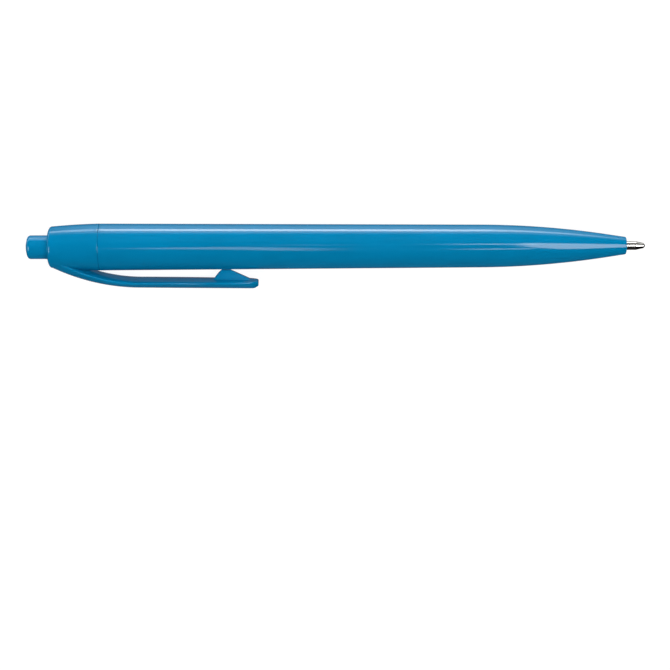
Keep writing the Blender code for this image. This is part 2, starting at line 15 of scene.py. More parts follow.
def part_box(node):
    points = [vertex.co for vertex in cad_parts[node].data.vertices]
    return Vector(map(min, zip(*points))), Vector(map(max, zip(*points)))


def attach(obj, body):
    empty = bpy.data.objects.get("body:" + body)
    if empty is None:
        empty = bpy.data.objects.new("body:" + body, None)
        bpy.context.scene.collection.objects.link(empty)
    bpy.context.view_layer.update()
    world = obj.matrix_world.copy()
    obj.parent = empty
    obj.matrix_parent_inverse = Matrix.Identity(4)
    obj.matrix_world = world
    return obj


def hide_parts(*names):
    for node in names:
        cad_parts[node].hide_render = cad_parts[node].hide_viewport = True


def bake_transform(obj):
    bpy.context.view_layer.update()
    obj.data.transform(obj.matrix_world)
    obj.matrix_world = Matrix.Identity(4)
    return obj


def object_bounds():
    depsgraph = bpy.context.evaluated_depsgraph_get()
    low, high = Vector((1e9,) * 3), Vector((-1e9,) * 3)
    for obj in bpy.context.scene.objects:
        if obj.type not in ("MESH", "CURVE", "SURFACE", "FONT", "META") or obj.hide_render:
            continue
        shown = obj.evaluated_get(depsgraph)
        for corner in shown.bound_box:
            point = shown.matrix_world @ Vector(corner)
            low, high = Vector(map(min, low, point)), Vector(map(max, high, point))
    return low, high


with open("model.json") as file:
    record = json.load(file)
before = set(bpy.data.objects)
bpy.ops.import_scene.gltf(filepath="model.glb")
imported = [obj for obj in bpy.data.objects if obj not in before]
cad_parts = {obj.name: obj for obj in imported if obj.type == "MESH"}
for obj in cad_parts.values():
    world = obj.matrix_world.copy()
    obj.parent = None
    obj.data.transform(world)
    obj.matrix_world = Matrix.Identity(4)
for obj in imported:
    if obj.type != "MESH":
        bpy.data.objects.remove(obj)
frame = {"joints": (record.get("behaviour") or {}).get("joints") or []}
bounds_at_load = [list(corner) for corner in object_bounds()]

# ---- the pen's frame, from the CAD -----------------------------------------------------------
MM = 0.001
JOINTS = {joint["name"]: joint for joint in frame["joints"]}
CLIP_PIVOT_AXIS = JOINTS["clip_flex"]["axis"]
PEN_ROLL = math.atan2(CLIP_PIVOT_AXIS[1], -CLIP_PIVOT_AXIS[2])
AXIS_Y, AXIS_Z = JOINTS["ball_spin"]["pos_m"][1:]
REAR_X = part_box("push_button")[0].x
PEN_FRAME = (
    Matrix.Translation((REAR_X, AXIS_Y, AXIS_Z))
    @ Matrix.Rotation(PEN_ROLL, 4, "X")
    @ Matrix.Scale(MM, 4)
)


def span(node):
    """Where a CAD node starts and ends along the pen, in millimetres."""
    low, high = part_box(node)
    return (low.x - REAR_X) / MM, (high.x - REAR_X) / MM


# ---- mesh helpers ----------------------------------------------------------------------------
SEGMENTS = 160
FINE_SEGMENTS = 96
FILLET_STEPS = 5
FILLET_REACH = 0.49
SHARP_ANGLE = math.radians(40)


def filleted(corners, closed):
    """Points of an outline whose corners (a, b, radius) are rounded where the radius isn't 0.

    A fillet takes up at most FILLET_REACH of each side it meets.
    """
    found = []
    count = len(corners)
    for i, (a, b, radius) in enumerate(corners):
        here = Vector((a, b))
        if radius == 0 or (not closed and i in (0, count - 1)):
            found.append((a, b))
            continue
        before = Vector(corners[i - 1][:2]) - here
        after = Vector(corners[(i + 1) % count][:2]) - here
        half = before.angle(after) / 2
        shorter = min(before.length, after.length)
        reach = min(radius / math.tan(half), FILLET_REACH * shorter)
        start = here + before.normalized() * reach
        end = here + after.normalized() * reach
        for k in range(FILLET_STEPS + 1):
            t = k / FILLET_STEPS
            point = start * (1 - t) ** 2 + here * 2 * t * (1 - t) + end * t**2
            found.append(tuple(point))
    return found


def make_object(name, bm, material):
    """An object from a bmesh in the pen's frame. Helpers for Booleans have no material."""
    bmesh.ops.recalc_face_normals(bm, faces=bm.faces)
    bm.transform(PEN_FRAME)
    mesh = bpy.data.meshes.new(name)
    bm.to_mesh(mesh)
    bm.free()
    mesh.shade_smooth()
    mesh.set_sharp_from_angle(angle=SHARP_ANGLE)
    obj = bpy.data.objects.new(name, mesh)
    bpy.context.scene.collection.objects.link(obj)
    if material is not None:
        mesh.materials.append(material)
    return obj


def lathe(corners, segments=SEGMENTS, shift=None):
    """A bmesh turned from (x, radius, fillet) corners.

    shift(x, angle) gives how far a point moves along the pen.
    """
    open_ended = corners[0][1] == 0
    outline = filleted(corners, not open_ended)
    bm = bmesh.new()
    rings = []
    for x, radius in outline:
        if radius == 0:
            rings.append([bm.verts.new((x, 0, 0))])
            continue
        ring = []
        for k in range(segments):
            angle = 2 * math.pi * k / segments
            moved = x + (shift(x, angle) if shift else 0.0)
            ring.append(
                bm.verts.new((moved, radius * math.cos(angle), radius * math.sin(angle)))
            )
        rings.append(ring)
    pairs = list(zip(rings, rings[1:]))
    if not open_ended:
        pairs.append((rings[-1], rings[0]))
    for first, second in pairs:
        for k in range(segments):
            after = (k + 1) % segments
            corner = [
                first[k % len(first)],
                first[after % len(first)],
                second[after % len(second)],
                second[k % len(second)],
            ]
            bm.faces.new(dict.fromkeys(corner))
    return bm


def loft(rings):
    """A bmesh through closed rings of points, capped at both ends."""
    bm = bmesh.new()
    made = [[bm.verts.new(point) for point in ring] for ring in rings]
    for first, second in zip(made, made[1:]):
        for k in range(len(first)):
            after = (k + 1) % len(first)
            bm.faces.new((first[k], first[after], second[after], second[k]))
    bm.faces.new(made[0])
    bm.faces.new(made[-1])
    return bm


def wedge(radii, middle, width, rear, front, steps):
    """A bmesh block between two radii, from rear to front(share of the way round its width)."""
    rings = []
    for i in range(steps + 1):
        share = i / steps
        angle = middle + (share - 0.5) * width
        across, up = math.cos(angle), math.sin(angle)
        end = front(share)
        corners = ((rear, radii[0]), (rear, radii[1]), (end, radii[1]), (end, radii[0]))
        rings.append([(x, radius * across, radius * up) for x, radius in corners])
    return loft(rings)


def combine(obj, helpers, operation):
    """Applies exact Booleans, one for each helper, and removes the helpers."""
    for helper in helpers:
        modifier = obj.modifiers.new(helper.name, "BOOLEAN")
        modifier.operation = operation
        modifier.object = helper
        modifier.solver = "EXACT"
    settle(obj)
    for helper in helpers:
        bpy.data.objects.remove(helper)


def settle(obj):
    """Replaces the object's mesh by its evaluated one, and drops its modifiers."""
    graph = bpy.context.evaluated_depsgraph_get()
    mesh = bpy.data.meshes.new_from_object(obj.evaluated_get(graph))
    obj.modifiers.clear()
    obj.data = mesh
    mesh.shade_smooth()
    mesh.set_sharp_from_angle(angle=SHARP_ANGLE)


def place(obj, body, slot, *nodes):
    """Makes the object ride on a CAD body in the place of its nodes."""
    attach(obj, body)
    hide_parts(*nodes)


# ---- materials -------------------------------------------------------------------------------
def add(tree, kind, **inputs):
    """A shader node, with its inputs set to values or linked to other nodes' outputs."""
    node = tree.nodes.new(kind)
    for name, value in inputs.items():
        socket = node.inputs[name.replace("_", " ")]
        if isinstance(value, bpy.types.NodeSocket):
            tree.links.new(value, socket)
        else:
            socket.default_value = value
    return node


def noise(tree, place_on_object, stretch, detail=3.0):
    """Noise whose scale is given per metre along and across the pen."""
    mapping = add(tree, "ShaderNodeMapping", Vector=place_on_object, Scale=stretch)
    made = add(
        tree,
        "ShaderNodeTexNoise",
        Vector=mapping.outputs["Vector"],
        Scale=1.0,
        Detail=detail,
    )
    return made.outputs["Fac"]


def mapped(tree, value, low, high, to_low, to_high):
    """A value taken from one range to another, and held inside it."""
    return add(
        tree,
        "ShaderNodeMapRange",
        Value=value,
        From_Min=low,
        From_Max=high,
        To_Min=to_low,
        To_Max=to_high,
    ).outputs["Result"]


DRIFT_SCALE = (90, 260, 260)
SMUDGE_SCALE = (420, 700, 700)
SCRATCH_SCALE = (160, 9000, 9000)
SCRATCH_ROUGHNESS = 0.06
SCRATCH_STRENGTH = 0.25


def surface(name, colour, roughness, grain, relief, metallic=0.0, shade=0.04, **direct):
    """A material whose colour, roughness and relief vary as the real surface does.

    grain is the noise scale, per metre, of the fine relief along and across the pen. relief is
    that relief's height in metres. shade is how far the colour drifts over the piece.
    """
    material = bpy.data.materials.new(name)
    material.use_nodes = True
    tree = material.node_tree
    shader = tree.nodes["Principled BSDF"]
    on_object = tree.nodes.new("ShaderNodeTexCoord").outputs["Object"]
    drift = noise(tree, on_object, DRIFT_SCALE)
    smudge = noise(tree, on_object, SMUDGE_SCALE, detail=6.0)
    fine = noise(tree, on_object, grain)
    streak = noise(tree, on_object, SCRATCH_SCALE, detail=1.0)
    scratch = mapped(tree, streak, 0.66, 0.72, 0.0, 1.0)

    tint = add(
        tree,
        "ShaderNodeMix",
        Factor=mapped(tree, drift, 0.35, 0.65, 0.0, 1.0),
    )
    tint.data_type = "RGBA"
    darker, lighter = (socket for socket in tint.inputs if socket.type == "RGBA")
    tinted = next(socket for socket in tint.outputs if socket.type == "RGBA")
    darker.default_value = (*(value * (1 - shade) for value in colour), 1)
    lighter.default_value = (*(value * (1 + shade) for value in colour), 1)
    tree.links.new(tinted, shader.inputs["Base Color"])

    handled = mapped(tree, smudge, 0.35, 0.7, roughness * 0.88, roughness * 1.3)
    worn = add(tree, "ShaderNodeMath", Value=mapped(tree, scratch, 0, 1, 0, SCRATCH_ROUGHNESS))
    tree.links.new(handled, worn.inputs[1])
    tree.links.new(worn.outputs[0], shader.inputs["Roughness"])

    bump = add(
        tree,
        "ShaderNodeBump",
        Strength=1.0,
        Distance=relief,
        Height=fine,
    )
    scored = add(
        tree,
        "ShaderNodeBump",
        Strength=SCRATCH_STRENGTH,
        Distance=relief * 0.5,
        Height=scratch,
        Normal=bump.outputs["Normal"],
    )
    tree.links.new(scored.outputs["Normal"], shader.inputs["Normal"])
    shader.inputs["Metallic"].default_value = metallic
    for socket, value in direct.items():
        shader.inputs[socket.replace("_", " ")].default_value = value
    return material


BLUE = surface(
    "blue_plastic", (0.0, 0.175, 0.36), 0.065, (900, 1500, 1500), 1.2e-6, IOR=1.49
)
ACETAL = surface("white_acetal", (0.62, 0.62, 0.59), 0.38, (2500, 2500, 2500), 6e-6)
TUBE = surface(
    "clear_tube",
    (0.9, 0.93, 0.95),
    0.12,
    (700, 2600, 2600),
    3e-6,
    Transmission_Weight=0.9,
    IOR=1.49,
)
INK = surface("ink", (0.008, 0.015, 0.16), 0.25, (900, 1800, 1800), 4e-6, shade=0.2)
GREASE = surface("follower_grease", (0.78, 0.72, 0.55), 0.3, (1500, 2400, 2400), 9e-6)
STEEL = surface(
    "spring_steel", (0.6, 0.6, 0.61), 0.26, (3000, 9000, 9000), 2e-6, metallic=1.0
)
SILVER = surface(
    "nickel_silver", (0.72, 0.71, 0.68), 0.13, (14000, 60, 60), 2e-6, metallic=1.0
)
CARBIDE = surface(
    "carbide", (0.42, 0.42, 0.44), 0.1, (16000, 16000, 16000), 1e-6, metallic=1.0
)

# ---- barrel ----------------------------------------------------------------------------------
BARREL_START, BARREL_END = span("barrel")
SEAM = BARREL_START - 0.08
MOUTH = SEAM + 0.04
BARREL_REAR_RADIUS = 5.29
BARREL_FRONT_RADIUS = 4.835
TAPER_END = 102.8
NOSE_BEND = 196.0
CONE_START = 131.4
NOSE_STEPS = 24
NOSE_EDGE = 0.28
NOSE_HOLE = 1.14
THROAT = 1.4
THROAT_END = 133.6
SPRING_SEAT = 129.0
SPRING_BORE = 2.1
SPRING_BORE_START = 119.0
BODY_BORE = 3.65
BODY_BORE_END = 100.0
MOUTH_BORE = 4.25
MOUTH_BORE_END = 35.0


def barrel_radius(x):
    """A long straight taper, an arc of the nose, and a short cone in line with the arc's end."""
    slope = (BARREL_FRONT_RADIUS - BARREL_REAR_RADIUS) / (TAPER_END - SEAM)
    if x <= TAPER_END:
        return BARREL_REAR_RADIUS + slope * (x - SEAM)
    bent = min(x, CONE_START) - TAPER_END
    radius = BARREL_FRONT_RADIUS + slope * bent - bent**2 / (2 * NOSE_BEND)
    return radius + (slope - bent / NOSE_BEND) * max(0.0, x - CONE_START)


def barrel_corners():
    """The barrel's outline: the mouth, the long taper, the nose, and the bores inside."""
    places = [17.2, 18, 25, 45, 65, 85, 100]
    for i in range(NOSE_STEPS + 1):
        places.append(TAPER_END + (CONE_START - TAPER_END) * i / NOSE_STEPS)
    places.append(BARREL_END - 1.0)
    return [
        (MOUTH, barrel_radius(MOUTH), 0.14),
        *((x, barrel_radius(x), 0) for x in places),
        (BARREL_END, barrel_radius(BARREL_END), NOSE_EDGE),
        (BARREL_END, NOSE_HOLE, 0.1),
        (THROAT_END, NOSE_HOLE, 0),
        (THROAT_END - 0.3, THROAT, 0),
        (SPRING_SEAT, THROAT, 0.05),
        (SPRING_SEAT, SPRING_BORE, 0.1),
        (SPRING_BORE_START, SPRING_BORE, 0.1),
        (BODY_BORE_END, BODY_BORE, 0.5),
        (MOUTH_BORE_END + 0.6, BODY_BORE, 0.1),
        (MOUTH_BORE_END, MOUTH_BORE, 0.1),
        (MOUTH, MOUTH_BORE, 0.15),
    ]


barrel = make_object("barrel_shell", lathe(barrel_corners()), BLUE)
place(barrel, "barrel", "blue_plastic", "barrel")

# ---- cap and clip, moulded in one piece ------------------------------------------------------
CAP_START = span("cap")[0]
CAP_RIM = 16.7
CAP_RADIUS = 5.3
CAP_SLOPE = 0.02
CAP_CURVE = 147.0
CAP_SHOULDER = 5.9
CAP_ROUND = (0.85, 1.9)
CAP_ROUND_STEPS = 16
CAP_HOLE = 2.76
CAP_WALL_END = 6.2
CLIP_END = span("clip")[1]
CLIP_ROOT = 5.5
CLIP_BEND = 25.9
CLIP_BEND_RADII = (37.0, 46.0)
CLIP_DEPTHS = (7.6, 9.31)
CLIP_LEAN = 0.012
CLIP_EDGE = 0.45
CLIP_BULGE = 0.35
CLIP_HALF_WIDTH = 3.43
CLIP_NARROWING = (24.0, 350.0)
CLIP_TIP_START = 50.0
CLIP_TIP_FLAT = 0.7
CLIP_TIP_DROP = 0.7
CLIP_TIP_LENGTH = 1.3
CLIP_END_ROUND = 0.3
CLIP_CORNER = 0.26
TOOTH_SPAN = (42.2, 50.6)
TOOTH_ROOT = 8.1
TOOTH_MIDDLE = (46, 7)
TOOTH_RIM = 0.85
TOOTH_DRAFT = 0.2
TOOTH_BEVEL = 0.18
CROWN_POINTS = 21
CLIP_STEPS = 64
TIP_STEPS = 12
END_STEPS = 5


def cap_radius(x):
    """The cap's side, which bulges gently and narrows towards the rear."""
    back = SEAM - x
    return CAP_RADIUS - CAP_SLOPE * back - back**2 / (2 * CAP_CURVE)


def clip_depths(x):
    """Depths from the pen's axis of the clip's inner face and of the crest of its crown."""
    back = max(0.0, CLIP_BEND - x)
    lean = CLIP_LEAN * max(0.0, x - CLIP_BEND)
    drops = [bend - math.sqrt(bend**2 - back**2) for bend in CLIP_BEND_RADII]
    near_end = max(0.0, 1 - (CLIP_END - x) / CLIP_TIP_LENGTH)
    inner = CLIP_DEPTHS[0] - drops[0] + lean / 2
    outer = CLIP_DEPTHS[1] - drops[1] + lean - CLIP_TIP_DROP * near_end**2
    return inner, outer


def clip_half_width(x):
    """Half the clip's width, which narrows gently and ends in a round tip with a short flat."""
    along = max(0.0, x - CLIP_NARROWING[0])
    width = CLIP_HALF_WIDTH - along**2 / (2 * CLIP_NARROWING[1])
    share = max(0.0, x - CLIP_TIP_START) / (CLIP_END - CLIP_TIP_START)
    narrowed = math.sqrt(1 - min(share, 1.0) ** 2)
    return CLIP_TIP_FLAT + (width - CLIP_TIP_FLAT) * narrowed


def clip_ring(x, inset, end_x):
    """The clip's section at x, drawn at end_x and made smaller by inset all round."""
    inner, outer = clip_depths(x)
    half = clip_half_width(x) - inset
    edge = CLIP_EDGE * (1 - inset)
    inner += inset
    outer -= inset
    rise = outer - inner - edge
    corners = [(inner, half, CLIP_CORNER)]
    for i in range(CROWN_POINTS):
        share = 1 - 2 * i / (CROWN_POINTS - 1)
        corners.append((outer - rise * share**2, half * share, 0))
    corners.append((inner, -half, CLIP_CORNER))
    for i in range(1, CROWN_POINTS - 1):
        share = 2 * i / (CROWN_POINTS - 1) - 1
        bulge = CLIP_BULGE * (half / CLIP_HALF_WIDTH) * (1 - share**2)
        corners.append((inner - bulge, half * share, 0))
    return [(end_x, -depth, z) for depth, z in filleted(corners, True)]


def clip_rings():
    """The clip's sections, closer together round the tip, whose end edge is rounded."""
    arm_length = CLIP_TIP_START - CLIP_ROOT
    last = CLIP_END - CLIP_END_ROUND
    stations = [CLIP_ROOT + arm_length * i / CLIP_STEPS for i in range(CLIP_STEPS + 1)]
    for i in range(1, TIP_STEPS + 1):
        share = math.sin(math.pi / 2 * i / TIP_STEPS)
        stations.append(CLIP_TIP_START + (last - CLIP_TIP_START) * share)
    rings = [clip_ring(x, 0.0, x) for x in stations]
    for i in range(1, END_STEPS + 1):
        angle = math.pi / 2 * i / END_STEPS
        inset = CLIP_END_ROUND * (1 - math.cos(angle))
        rings.append(clip_ring(last, inset, last + CLIP_END_ROUND * math.sin(angle)))
    return rings


def tooth():
    """The tooth under the clip's end, with its edges rounded. Its sides lean together slightly.

    A ring inside the rim of each side keeps that side flat up to its edge.
    """
    rear, front = TOOTH_SPAN
    corners = [
        (rear, TOOTH_ROOT, 0),
        (rear, 7.55, 0.15),
        (42.7, 6.9, 0.3),
        (43.4, 6.0, 0.3),
        (44.1, 5.3, 0.5),
        (46.2, 5.3, 0.9),
        (front, 7.45, 0.3),
        (front, TOOTH_ROOT, 0),
    ]
    outline = filleted(corners, True)
    middle_x, middle_depth = TOOTH_MIDDLE
    rings = []
    for side, size in ((-1, TOOTH_RIM), (-1, 1.0), (1, 1.0), (1, TOOTH_RIM)):
        ring = []
        for x, depth in outline:
            placed = middle_depth + (depth - middle_depth) * size
            half_width = 1 - TOOTH_DRAFT * (TOOTH_ROOT - placed)
            ring.append((middle_x + (x - middle_x) * size, -placed, side * half_width))
        rings.append(ring)
    obj = make_object("tooth", loft(rings), BLUE)
    bevel = obj.modifiers.new("bevel", "BEVEL")
    bevel.width = TOOTH_BEVEL * MM
    bevel.segments = 3
    bevel.limit_method = "ANGLE"
    bevel.angle_limit = math.radians(60)
    settle(obj)
    return obj


def cap_corners():
    """The cap's outside as a solid: the rounded rear edge, the side and the rim at the seam."""
    shoulder_radius = cap_radius(CAP_SHOULDER)
    corners = [(CAP_START, 0, 0)]
    for i in range(CAP_ROUND_STEPS + 1):
        turn = math.pi / 2 * i / CAP_ROUND_STEPS
        x = CAP_SHOULDER - CAP_ROUND[0] * math.cos(turn)
        corners.append((x, shoulder_radius - CAP_ROUND[1] * (1 - math.sin(turn)), 0))
    corners += [(x, cap_radius(x), 0) for x in (*range(7, 16), 15.8, 16.3)]
    corners += [(CAP_RIM, cap_radius(CAP_RIM), 0.12), (CAP_RIM, 0, 0)]
    return corners


def cap_bore_corners():
    """What is cut from the cap: the button's hole with its countersink, and the wide bore."""
    return [
        (CAP_START - 1.0, 0, 0),
        (CAP_START - 1.0, CAP_HOLE + 0.84, 0),
        (CAP_START, CAP_HOLE + 0.19, 0.1),
        (CAP_START + 0.2, CAP_HOLE, 0.1),
        (CAP_WALL_END, CAP_HOLE, 0),
        (CAP_WALL_END, MOUTH_BORE, 0.2),
        (CAP_RIM - 0.1, MOUTH_BORE, 0.1),
        (CAP_RIM + 0.1, MOUTH_BORE + 0.2, 0),
        (CAP_RIM + 0.1, 0, 0),
    ]


cap_and_clip = make_object("cap_and_clip", lathe(cap_corners()), BLUE)
arm = make_object("arm", loft(clip_rings()), BLUE)
combine(cap_and_clip, [arm, tooth()], "UNION")
cap_bore = make_object("cap_bore", lathe(cap_bore_corners()), BLUE)
combine(cap_and_clip, [cap_bore], "DIFFERENCE")
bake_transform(cap_and_clip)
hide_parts("cap", "clip")

# ---- click mechanism -------------------------------------------------------------------------
RIBS = 4
TEETH = 8
TOOTH_HEIGHT = 0.8
RIB_ANGLES = [2 * math.pi * i / RIBS for i in range(RIBS)]
RIB_WIDTH = math.radians(15)
RIB_RADII = (1.75, 2.92)
RIB_STEPS = 6
BUTTON_RIBS = (12.0, 26.0)
ROTOR_RIBS = (28.35, 31.6)
STOP_WIDTH = math.radians(64)
STOP_RADII = (2.3, 3.45)
STOP_REAR = 13.8
STOP_FRONT = 28.2
STOP_STEPS = 32
BUTTON_RADIUS = 2.68
BUTTON_FRONT = 12.2
BUTTON_DOME = (0.3, 1.9)
BUTTON_ROUND = (0.8, 0.78)
DOME_STEPS = 8
DOME_POWER = 2.4
ROUND_STEPS = 10
PLUNGER_RADIUS = 2.15
PLUNGER_FRONT = span("push_button")[1]
ROTOR_REAR = 27.15
ROTOR_FRONT = 36.2
# Where the plunger's bore, the cam's pin and the cam's socket end, and the radius of each.
PLUNGER_BORE = (20.3, 1.4)
ROTOR_PIN = (21.5, 1.15)
ROTOR_SOCKET = (32.6, 1.7)
SLEEVE_RADII = (3.05, 4.18)
NEAR = 0.01


def zigzag(angle):
    """0 at a tooth's tip and 1 at its root."""
    return 1 - abs(2 * (angle * TEETH / (2 * math.pi) % 1) - 1)


def crown(x, angle):
    """The teeth of the plunger's front end."""
    at_end = abs(x - PLUNGER_FRONT) < NEAR
    return -TOOTH_HEIGHT * zigzag(angle) if at_end else 0.0


def rotor_crown(x, angle):
    """The teeth of the cam's rear end, which fit the plunger's."""
    at_end = abs(x - ROTOR_REAR) < NEAR
    return TOOTH_HEIGHT * zigzag(angle) if at_end else 0.0


def stop_teeth(share):
    """Two saw teeth round a stop's width."""
    return STOP_FRONT - TOOTH_HEIGHT * (share * 2 % 1 if share < 1 else 1.0)


def straight_ribs(rear, front):
    """The ribs that run in the sleeve's grooves."""
    ribs = []
    for angle in RIB_ANGLES:
        shape = wedge(RIB_RADII, angle, RIB_WIDTH, rear, lambda _: front, RIB_STEPS)
        ribs.append(make_object("rib", shape, None))
    return ribs


def button_corners():
    """A gently domed end, a rounded edge, the straight button, and the thinner plunger."""
    depth, dome_radius = BUTTON_DOME
    corners = [(0.0, 0, 0)]
    for i in range(1, DOME_STEPS + 1):
        out = dome_radius * i / DOME_STEPS
        corners.append((depth * (out / dome_radius) ** DOME_POWER, out, 0))
    for i in range(1, ROUND_STEPS + 1):
        turn = math.pi / 2 * i / ROUND_STEPS
        x = depth + BUTTON_ROUND[0] * (1 - math.cos(turn))
        corners.append((x, dome_radius + BUTTON_ROUND[1] * math.sin(turn), 0))
    return corners + [
        (1.5, BUTTON_RADIUS, 0),
        (BUTTON_FRONT - 0.4, BUTTON_RADIUS, 0),
        (BUTTON_FRONT, BUTTON_RADIUS, 0.1),
        (BUTTON_FRONT + 0.5, PLUNGER_RADIUS, 0.1),
        (PLUNGER_FRONT, PLUNGER_RADIUS, 0),
        (PLUNGER_FRONT, PLUNGER_BORE[1], 0),
        (*PLUNGER_BORE, 0),
        (PLUNGER_BORE[0], 0, 0),
    ]


button = make_object("button_and_plunger", lathe(button_corners(), shift=crown), BLUE)
combine(button, straight_ribs(*BUTTON_RIBS), "UNION")
place(button, "button", "blue_plastic", "push_button")

SLEEVE_START, SLEEVE_END = span("cam_sleeve")
sleeve_corners = [
    (SLEEVE_START, SLEEVE_RADII[0], 0.1),
    (SLEEVE_START, SLEEVE_RADII[1], 0.1),
    (SLEEVE_END - 0.4, SLEEVE_RADII[1], 0.2),
    (SLEEVE_END, SLEEVE_RADII[1] - 0.4, 0.1),
    (SLEEVE_END, SLEEVE_RADII[0], 0.1),
]
sleeve = make_object("cam_guide", lathe(sleeve_corners), ACETAL)
stops = []
for rib_angle in RIB_ANGLES:
    between_ribs = rib_angle + math.pi / RIBS
    shape = wedge(STOP_RADII, between_ribs, STOP_WIDTH, STOP_REAR, stop_teeth, STOP_STEPS)
    stops.append(make_object("stop", shape, None))
combine(sleeve, stops, "UNION")
place(sleeve, "cap", "white_acetal", "cam_sleeve")

rotor_corners = [
    (ROTOR_PIN[0], 0, 0),
    (*ROTOR_PIN, 0.3),
    (ROTOR_REAR, ROTOR_PIN[1], 0),
    (ROTOR_REAR, PLUNGER_RADIUS, 0),
    (ROTOR_FRONT, PLUNGER_RADIUS, 0.15),
    (ROTOR_FRONT, ROTOR_SOCKET[1], 0.1),
    (*ROTOR_SOCKET, 0),
    (ROTOR_SOCKET[0], 0, 0),
]
rotor = make_object("rotor", lathe(rotor_corners, shift=rotor_crown), ACETAL)
combine(rotor, straight_ribs(*ROTOR_RIBS), "UNION")
place(rotor, "rotor", "white_acetal", "cam_rotor")

# ---- refill ----------------------------------------------------------------------------------
TUBE_RADII = (1.12, 1.55)
PLUG_RADIUS = 1.07
ADAPTER_BORE = 0.5
ADAPTER_SOCKET = 0.78
ADAPTER_COLLAR = (116.0, 117.0, 1.95)
ADAPTER_NECK = 1.38
STEM_RADIUS = 0.72
INK_CHANNEL = 0.25
SHANK_START = 121.7
SHANK_END = 131.0
SHANK_RADIUS = 1.15
NECK_END = 137.9
NECK_RADIUS = 0.97
BALL_RADIUS = 0.5
BALL_STEPS = 24
BALL_SEGMENTS = 48
SOCKET_RADIUS = 0.53
SOCKET_STEPS = 12
SOCKET_TURN = math.radians(160)

TUBE_START, TUBE_END = span("refill_tube")
tube_corners = [
    (TUBE_START, TUBE_RADII[0], 0.05),
    (TUBE_START, TUBE_RADII[1], 0.1),
    (TUBE_END, TUBE_RADII[1], 0.1),
    (TUBE_END, TUBE_RADII[0], 0.05),
]
tube = make_object("refill_barrel", lathe(tube_corners, FINE_SEGMENTS), TUBE)
place(tube, "refill", "clear_tube", "refill_tube")

for plug_name, node, slot_name, material in (
    ("ink", "ink_column", "ink", INK),
    ("grease", "ink_follower", "follower_grease", GREASE),
):
    plug_start, plug_end = span(node)
    plug_corners = [
        (plug_start, 0, 0),
        (plug_start, PLUG_RADIUS, 0.25),
        (plug_end, PLUG_RADIUS, 0.25),
        (plug_end, 0, 0),
    ]
    plug = make_object(plug_name, lathe(plug_corners, FINE_SEGMENTS), material)
    place(plug, "refill", slot_name, node)

ADAPTER_START, ADAPTER_END = span("point_adapter")
collar_rear, collar_front, collar_radius = ADAPTER_COLLAR
adapter_corners = [
    (ADAPTER_START, ADAPTER_BORE, 0.05),
    (ADAPTER_START, 0.91, 0.05),
    (ADAPTER_START + 0.4, 1.06, 0.1),
    (collar_rear, 1.06, 0.05),
    (collar_rear, collar_radius, 0.1),
    (collar_front, collar_radius, 0.1),
    (collar_front, ADAPTER_NECK, 0.05),
    (ADAPTER_END - 0.25, ADAPTER_NECK, 0.1),
    (ADAPTER_END, ADAPTER_NECK - 0.25, 0.05),
    (ADAPTER_END, ADAPTER_SOCKET, 0.05),
    (collar_front + 0.5, ADAPTER_SOCKET, 0.05),
    (collar_front + 0.5, ADAPTER_BORE, 0.05),
]
adapter = make_object("adapter", lathe(adapter_corners, FINE_SEGMENTS), ACETAL)
place(adapter, "refill", "white_acetal", "point_adapter")

POINT_START, LIP = span("writing_point")
BALL_END = span("writing_ball")[1]
BALL_CENTRE = BALL_END - BALL_RADIUS


def round_ball(radius, turn):
    """A corner of an outline on a circle about the ball's centre."""
    return BALL_CENTRE + radius * math.cos(turn), radius * math.sin(turn), 0


def socket_corners():
    """The socket that holds the ball, from its lip inwards."""
    lip_turn = math.acos((LIP - BALL_CENTRE) / SOCKET_RADIUS)
    sweep = SOCKET_TURN - lip_turn
    turns = [lip_turn + sweep * i / SOCKET_STEPS for i in range(SOCKET_STEPS + 1)]
    return [round_ball(SOCKET_RADIUS, turn) for turn in turns]


point_corners = [
    (POINT_START, INK_CHANNEL, 0.03),
    (POINT_START, STEM_RADIUS, 0.06),
    (SHANK_START, STEM_RADIUS, 0),
    (SHANK_START, SHANK_RADIUS, 0.08),
    (SHANK_END, SHANK_RADIUS, 0.1),
    (SHANK_END + 0.2, NECK_RADIUS, 0.1),
    (NECK_END, NECK_RADIUS, 0.25),
    (LIP - 0.1, 0.6, 0.06),
    (LIP, 0.54, 0.03),
    *socket_corners(),
    (BALL_CENTRE - SOCKET_RADIUS, 0.175, 0),
]
point = make_object("point", lathe(point_corners, FINE_SEGMENTS), SILVER)
place(point, "refill", "nickel_silver", "writing_point")

ball_corners = [
    (BALL_CENTRE - BALL_RADIUS, 0, 0),
    *(round_ball(BALL_RADIUS, math.pi * (1 - i / BALL_STEPS)) for i in range(1, BALL_STEPS)),
    (BALL_END, 0, 0),
]
ball = make_object("ball", lathe(ball_corners, BALL_SEGMENTS), CARBIDE)
place(ball, "ball", "carbide", "writing_ball")

# ---- return spring ---------------------------------------------------------------------------
WIRE = 0.19
COIL = 1.73
OPEN_TURNS = 10
END_TURNS = 1.5
END_PITCH = 0.5
COIL_STEPS = 48
WIRE_SIDES = 16
COIL_START = span("point_adapter")[0] + 5.71
COIL_END = 128.79


def coil_point(turn):
    """The middle of the wire after so many turns. The turns at both ends lie closer together."""
    first = min(turn, END_TURNS)
    middle = min(max(turn - END_TURNS, 0.0), OPEN_TURNS)
    last = max(turn - END_TURNS - OPEN_TURNS, 0.0)
    pitch = (COIL_END - COIL_START - 2 * END_TURNS * END_PITCH) / OPEN_TURNS
    x = COIL_START + (first + last) * END_PITCH + middle * pitch
    angle = 2 * math.pi * turn
    return Vector((x, COIL * math.cos(angle), COIL * math.sin(angle)))


